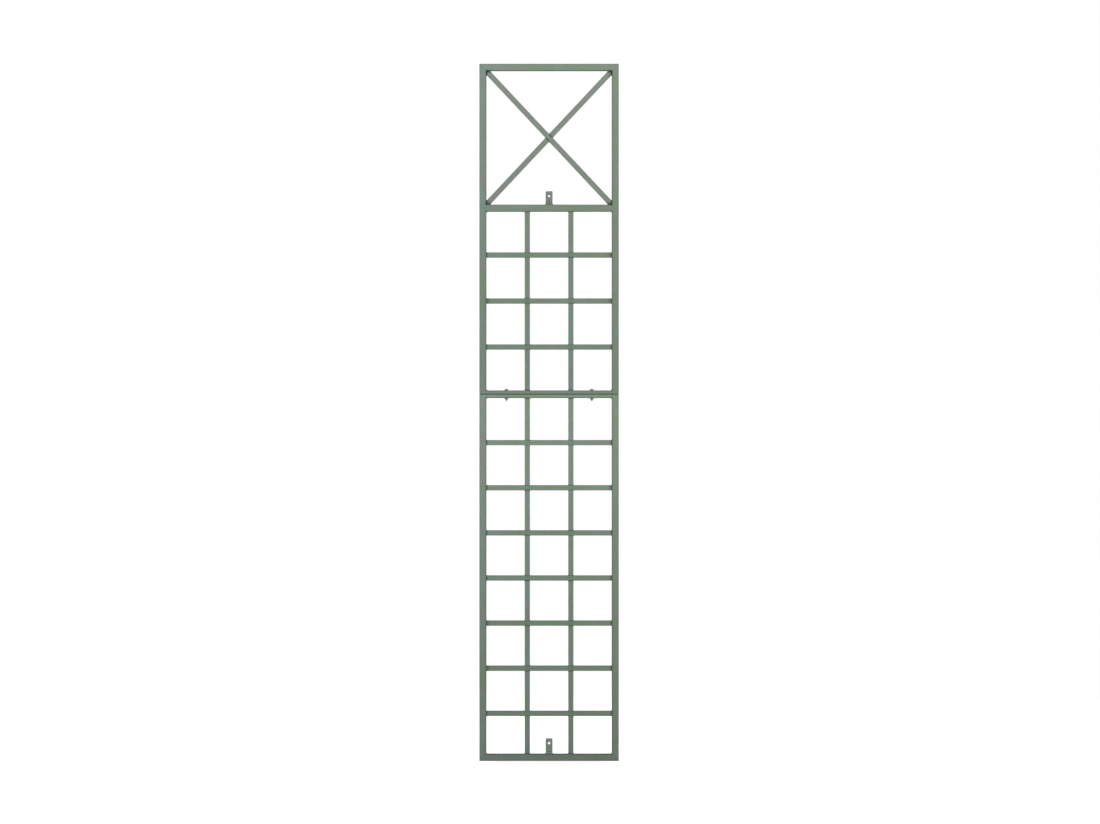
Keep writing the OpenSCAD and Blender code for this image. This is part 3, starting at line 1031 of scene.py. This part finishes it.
for panel, runs in corner_runs.items():
    a, b = low[panel + "_wall_bracket"], high[panel + "_wall_bracket"]
    for x, side in ((a.x, -1), (b.x, 1)):
        runs.fillet((x, 0, a.z), (side, 0, 1), Y_AXIS, LEG, FOOT_SIDE)
    half = (b.x - a.x) / 2 - FOOT_SHORT
    front_edge, back_edge = (0, a.y, a.z - FRONT_DROP), (0, tube_face - BACK_IN, a.z)
    runs.fillet(front_edge, FRONT_FACING, X_AXIS, FRONT_LEG, half, FRONT_OPENING)
    runs.fillet(back_edge, BACK_FACING, X_AXIS, BACK_LEG, half, BACK_OPENING)
count("beads in all", corner_runs)

# %% [markdown]
# So far the runs are only lists. Each list becomes a mesh of points, and the tree lays a bead on
# every point. Two sets of inputs make the one tree give both kinds: a bowed and rippled bead that
# fills a corner or a groove, and a low smooth one that was ground flush. The first stand for the
# plain prisms among the loaded solids, which are hidden, and the second lie on the tubes.

# %% Lay the beads
FILLET = {
    "Corner": 1.0, "Bow": 0.40, "Sink": 0.30, "Ripple": 0.15, "Squareness": 6.0,
    "Roughening": 0.25 * MM, "Seed": 11, "Coat": weld_green,
}
FLUSH = {
    "Corner": 0.0, "Bow": 1.0, "Sink": 5.0, "Ripple": 0.0, "Squareness": 12.0,
    "Roughening": 0.0, "Seed": 23, "Coat": frame_coat,
}
for panel in PANELS:
    beads = grow(panel + "_weld_beads", weld_beads, corner_runs[panel].mesh("places"), FILLET)
    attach(beads, "root")
    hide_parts(panel + "_panel_welds")
    seams = grow(panel + "_ground_seams", weld_beads, seam_runs[panel].mesh("places"), FLUSH)
    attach(seams, "root")

# %% [markdown]
# ## Bolts and nuts
# Two M5 bolts with flanged heads hold the panels together, with a flanged nut under each. They
# were coated with the frame, so they are the same green, worn to bare zinc at the thread's end. A
# second object with a zinc material could stand for the tip. Here one material mixes the two, and
# noise makes the edge of the wear ragged.

# %% Coat on fasteners
FASTENER_GREEN = (0.158, 0.205, 0.158, 1)
FASTENER_SHADE = (0.105, 0.140, 0.108, 1)
BARE_ZINC = (0.34, 0.35, 0.35, 1)
BARE_METALLIC = 0.85
BARE_TIP, WORN_TIP = 0.4, 2.2
WEAR_SCALE, STAIN_SCALE = 900, 240
FASTENER_RELIEF = 0.05 * MM


def fastener_coat():
    material, bench, place = new_material("fastener_coat")
    worn = noise(place, WEAR_SCALE, 3)
    cloud = noise(place, STAIN_SCALE, 3)
    above_tip = split(place)[2] - low["joint_bolts"].z
    bare = near(above_tip, BARE_TIP, WORN_TIP) * soft_step(worn, 0.38, 0.55)
    coated = blend(bench, soft_step(cloud, 0.3, 0.7), FASTENER_SHADE, FASTENER_GREEN)
    colour = blend(bench, bare, coated, BARE_ZINC)
    metallic = {"Metallic": BARE_METALLIC * bare}
    finish_material(bench, colour, 0.42 + 0.15 * cloud, worn + cloud, FASTENER_RELIEF, metallic)
    return material


fastener_green = fastener_coat()
print("fastener coat, worn over the last", WORN_TIP, "mm")

# %% [markdown]
# A flanged head could be cut from a cylinder with booleans. Here each point of a fine cylinder
# simply moves in to its limit: the flange's cone, one of the six flats or the turned chamfer,
# whichever holds at its height and angle. That gives the scalloped edges of a real head.

# %% Shape of a flanged hexagon
FLAT_TURN = math.radians(30)
CHAMFER_SLOPE = math.tan(math.radians(30))
CONE_SLOPE = math.tan(math.radians(25))
RIM_BREAK = 0.2 * MM


def flanged_reach(angle, above, given, tall):
    """How far out a flanged hexagon goes, at an angle and at a height above its seat."""
    flats, flange = given["Across_flats"] / 2, given["Flange"] / 2
    wrapped = angle.maths("WRAP", angle + FLAT_TURN, FLAT_TURN, -FLAT_TURN)
    flat = flats / angle.maths("COSINE", wrapped)
    hexagon = least(flat, flats + (tall - above) / CHAMFER_SLOPE)
    cone = flange - most(above - given["Rim"], 0.0) / CONE_SLOPE
    broken_edge = flange - most(RIM_BREAK - above, 0.0)
    return most(least(cone, broken_edge), hexagon)


def round_grid(bench, around, rings):
    """A closed cylinder of radius 1 from 0 to 1, with its points' x, y, angle and height."""
    blank = cylinder(bench, around, rings, 1.0, 1.0)
    x, y, z = split(bench.node("GeometryNodeInputPosition"))
    return blank, x, y, x.maths("ARCTAN2", y, x), z + 0.5


print("flange cone of 25 degrees, chamfer of 30 degrees")

# %% [markdown]
# A bolt is three such cylinders: the head, a plain shank that the rails hide, and the thread. The
# thread comes from a groove that climbs with the angle, one pitch a turn. Only the last part of it
# shows under the nut, so only that part is threaded.

# %% Tree for bolts
AROUND_HEAD, AROUND_SHANK, AROUND_THREAD = 48, 24, 32
HEAD_RINGS, SHANK_RINGS, THREAD_RINGS = 24, 2, 72
SHANK_SHARE = 0.97
SHANK_OVERLAP, HEAD_OVERLAP = 1 * MM, 0.5 * MM
GROOVE_SHARE = 0.55
BOLT_POINT = 0.8 * MM
FASTENER_CRISP = 35


def bolt_tree():
    tree, bench, given = new_tree(
        "flange_bolts", Places="Geometry", Across_flats="Float", Flange="Float", Rim="Float",
        Head="Float", Diameter="Float", Length="Float", Thread="Float", Pitch="Float",
        Coat="Material",
    )
    radius, length = given["Diameter"] / 2, given["Length"]

    blank, x, y, angle, t = round_grid(bench, AROUND_HEAD, HEAD_RINGS)
    above = given["Head"] * t
    reach = flanged_reach(angle, above, given, given["Head"])
    head = reshape(bench, blank, x * reach, y * reach, above)

    blank, x, y, angle, t = round_grid(bench, AROUND_SHANK, SHANK_RINGS)
    bottom = given["Thread"] - length - SHANK_OVERLAP
    inside = SHANK_SHARE * radius
    shank = reshape(bench, blank, x * inside, y * inside, bottom + t * (HEAD_OVERLAP - bottom))

    blank, x, y, angle, t = round_grid(bench, AROUND_THREAD, THREAD_RINGS)
    above_tip = given["Thread"] * t
    turns = above_tip / given["Pitch"] - angle / math.tau
    groove = 2 * turns.maths("PINGPONG", turns, 0.5)
    grooved = radius - GROOVE_SHARE * given["Pitch"] * groove
    reach = least(grooved, radius - BOLT_POINT + above_tip)
    thread = reshape(bench, blank, x * reach, y * reach, above_tip - length)

    bolt = bench.node("GeometryNodeJoinGeometry", None, {"Geometry": [head, shank, thread]})
    close_tree(bench, on_points(bench, given["Places"], bolt), given["Coat"], FASTENER_CRISP)
    return tree


flange_bolts = bolt_tree()
print(len(flange_bolts.nodes), "nodes make the bolts")

# %% [markdown]
# A nut has a hole, so a cylinder won't do as its blank. A square outline swept round a circle
# gives a ring with an inner and an outer wall. Its outer wall takes the same flanged shape as the
# bolt's head, turned upside down, and its inner wall opens a little at both ends.

# %% Tree for nuts
MOUTH = 0.35 * MM
NUT_CUTS = 19


def nut_tree():
    tree, bench, given = new_tree(
        "flange_nuts", Places="Geometry", Across_flats="Float", Flange="Float", Rim="Float",
        Bore="Float", Height="Float", Coat="Material",
    )
    tall = given["Height"]
    sockets = {"Resolution": AROUND_HEAD, "Radius": 1.0}
    ring = bench.node("GeometryNodeCurvePrimitiveCircle", None, sockets, "Curve")
    sockets = {"Width": 1.0, "Height": 1.0}
    square = bench.node("GeometryNodeCurvePrimitiveQuadrilateral", None, sockets)
    outline = bench.node("GeometryNodeSubdivideCurve", None, {"Curve": square, "Cuts": NUT_CUTS})
    blank = bench.node("GeometryNodeCurveToMesh", None, {"Curve": ring, "Profile Curve": outline})

    x, y, z = split(bench.node("GeometryNodeInputPosition"))
    far = (x * x + y * y) ** 0.5
    below = tall * (0.5 - z)
    outer = flanged_reach(x.maths("ARCTAN2", y, x), below, given, tall)
    to_end = least(below, tall - below)
    inner = given["Bore"] / 2 + most(MOUTH - to_end, 0.0)
    radius = inner + (far - 0.5) * (outer - inner)
    nut = reshape(bench, blank, x / far * radius, y / far * radius, -1 * below)
    close_tree(bench, on_points(bench, given["Places"], nut), given["Coat"], FASTENER_CRISP)
    return tree


flange_nuts = nut_tree()
print(len(flange_nuts.nodes), "nodes make the nuts")

# %% [markdown]
# A bolt sits on the upper joint rail and its nut under the lower one. The seats are points, so the
# trees put a copy on each, and the lengths follow from the boxes of the solids that they replace.

# %% Bolts and nuts in place
BOLT_DIAMETER, BORE_DIAMETER = 5.0 * MM, 5.1 * MM
THREAD_LENGTH, THREAD_PITCH = 9.0 * MM, 0.8 * MM
flange_width = high["joint_nuts"].y - low["joint_nuts"].y
bolt_x = high["joint_nuts"].x - flange_width / 2
hexagon = {
    "Across_flats": 8.0 * MM, "Flange": flange_width, "Rim": 1.4 * MM, "Coat": fastener_green,
}
bolt_sizes = {
    "Head": high["joint_bolts"].z - upper_grid_bottom, "Diameter": BOLT_DIAMETER,
    "Length": upper_grid_bottom - low["joint_bolts"].z, "Thread": THREAD_LENGTH,
    "Pitch": THREAD_PITCH,
}
nut_sizes = {"Bore": BORE_DIAMETER, "Height": lower_grid_top - low["joint_nuts"].z}
for name, tree, node, seat, sizes in (
    ("threaded_bolts", flange_bolts, "joint_bolts", upper_grid_bottom, bolt_sizes),
    ("flanged_nuts", flange_nuts, "joint_nuts", lower_grid_top, nut_sizes),
):
    seats = marks("seats", [(side * bolt_x, 0, seat) for side in SIDES])
    piece = grow(name, tree, seats, {**hexagon, **sizes})
    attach(piece, "root")
    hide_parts(node)

# %% [markdown]
# ## Wall brackets
# A bracket is a flat bar, sheared to length, rounded at its upper corners, bent once and drilled.
# The loaded solid has razor edges. A flat section swept along a bent line gives the same strap,
# one boolean rounds the two corners, another drills the hole, and a small bevel softens the
# sheared edges, which is where the coat catches the light.

# %% Helpers for straps
CORNER_STEPS = 8


def rounded(curve, radius, steps):
    """A curve with its corners rounded."""
    sockets = {"Curve": curve, "Radius": radius, "Count": steps}
    return curve.bench.node("GeometryNodeFilletCurve", {"mode": "POLY"}, sockets)


def swept(path, width, height, corner=None):
    """A solid bar along a path."""
    sockets = {"Width": width, "Height": height}
    outline = path.bench.node("GeometryNodeCurvePrimitiveQuadrilateral", None, sockets)
    if corner:
        outline = rounded(outline, corner, CORNER_STEPS)
    sockets = {"Curve": path, "Profile Curve": outline, "Fill Caps": True}
    return path.bench.node("GeometryNodeCurveToMesh", None, sockets)


def moved(mesh, place, turn=(0, 0, 0)):
    """A mesh that is turned and put in its place."""
    sockets = {"Geometry": mesh, "Translation": place, "Rotation": turn}
    return mesh.bench.node("GeometryNodeTransform", None, sockets)


def cut(bench, operation, sockets):
    """What is left of a mesh after an exact boolean."""
    settings = {"operation": operation, "solver": "EXACT"}
    return bench.node("GeometryNodeMeshBoolean", settings, sockets, "Mesh")


print("helpers for straps are ready")

# %% [markdown]
# The boolean for the corners keeps what lies in a window with round corners, which is as wide as
# the strap and goes through from front to back. Half of the window is below the bracket's foot, so
# only its two upper corners are used. The hole is the difference with a thin cylinder.

# %% Tree for bent straps
BEND_STEPS, AROUND_HOLE = 10, 40
WINDOW_REACH, WINDOW_ROOM = 80 * MM, 0.02 * MM
DRILL_DEPTH = 20 * MM
STRAP_CRISP = 35


def strap_tree():
    tree, bench, given = new_tree(
        "bent_straps", Line="Geometry", Width="Float", Thickness="Float", Bend="Float",
        Tall="Float", Corner="Float", Seat="Vector", Hole="Float", Hole_place="Vector",
        Coat="Material",
    )
    path = bench.node("GeometryNodeMeshToCurve", None, {"Mesh": given["Line"]})
    bent = rounded(path, given["Bend"] - given["Thickness"] / 2, BEND_STEPS)
    strap = swept(bent, given["Width"], given["Thickness"])

    reach = {"Start": (0, -WINDOW_REACH, 0), "End": (0, WINDOW_REACH, 0)}
    through = bench.node("GeometryNodeCurvePrimitiveLine", None, reach)
    window = swept(through, given["Width"] + WINDOW_ROOM, 2 * given["Tall"], given["Corner"])
    cornered = cut(bench, "INTERSECT", {"Mesh 2": [strap, moved(window, given["Seat"])]})

    drill = cylinder(bench, AROUND_HOLE, 1, given["Hole"] / 2, DRILL_DEPTH)
    aimed = moved(drill, given["Hole_place"], (math.pi / 2, 0, 0))
    drilled = cut(bench, "DIFFERENCE", {"Mesh 1": cornered, "Mesh 2": aimed})
    close_tree(bench, drilled, given["Coat"], STRAP_CRISP)
    return tree


straps = strap_tree()
print(len(straps.nodes), "nodes make a bracket")

# %% [markdown]
# The tree needs only the bent line of each bracket and its sizes. The brackets get no painted shade,
# their tabs turn greyer towards the upper end, and the lower bracket is painted a little paler, as a
# painted highlight on its tab.

# %% Wall brackets in place
STRAP, BEND, TAB_CORNER, SOFT_EDGE = 4.0 * MM, 7.0 * MM, 2.5 * MM, 0.4 * MM
HOLE, HOLE_HEIGHT = 6.5 * MM, 27.0 * MM
TAB_DUST = 0.9
# The first number of each bracket is how much paler it is painted; on the lower one it is a painted
# highlight.
bracket_paleness_and_dust = {"upper": (1.0, 8 * MM), "lower": (1.25, 18 * MM)}

for panel, (shade, dust_height) in bracket_paleness_and_dust.items():
    a, b = low[panel + "_wall_bracket"], high[panel + "_wall_bracket"]
    dust_from = a.z + dust_height
    coat = sage_coat(panel + "_bracket_coat", shade=shade, dusty=TAB_DUST, dusty_above=dust_from)
    bend_y, bend_z = b.y - STRAP / 2, a.z + STRAP / 2
    line = bpy.data.meshes.new("bracket_line")
    line.from_pydata([(0, a.y, bend_z), (0, bend_y, bend_z), (0, bend_y, b.z)], [(0, 1), (1, 2)], [])
    sizes = {
        "Width": b.x - a.x, "Thickness": STRAP, "Bend": BEND, "Tall": b.z - a.z,
        "Corner": TAB_CORNER, "Seat": (0, 0, a.z), "Hole": HOLE,
        "Hole_place": (0, bend_y, a.z + HOLE_HEIGHT), "Coat": coat,
    }
    bracket = grow(panel + "_bent_bracket", straps, line, sizes, soften=SOFT_EDGE)
    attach(bracket, "root")
    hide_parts(panel + "_wall_bracket")
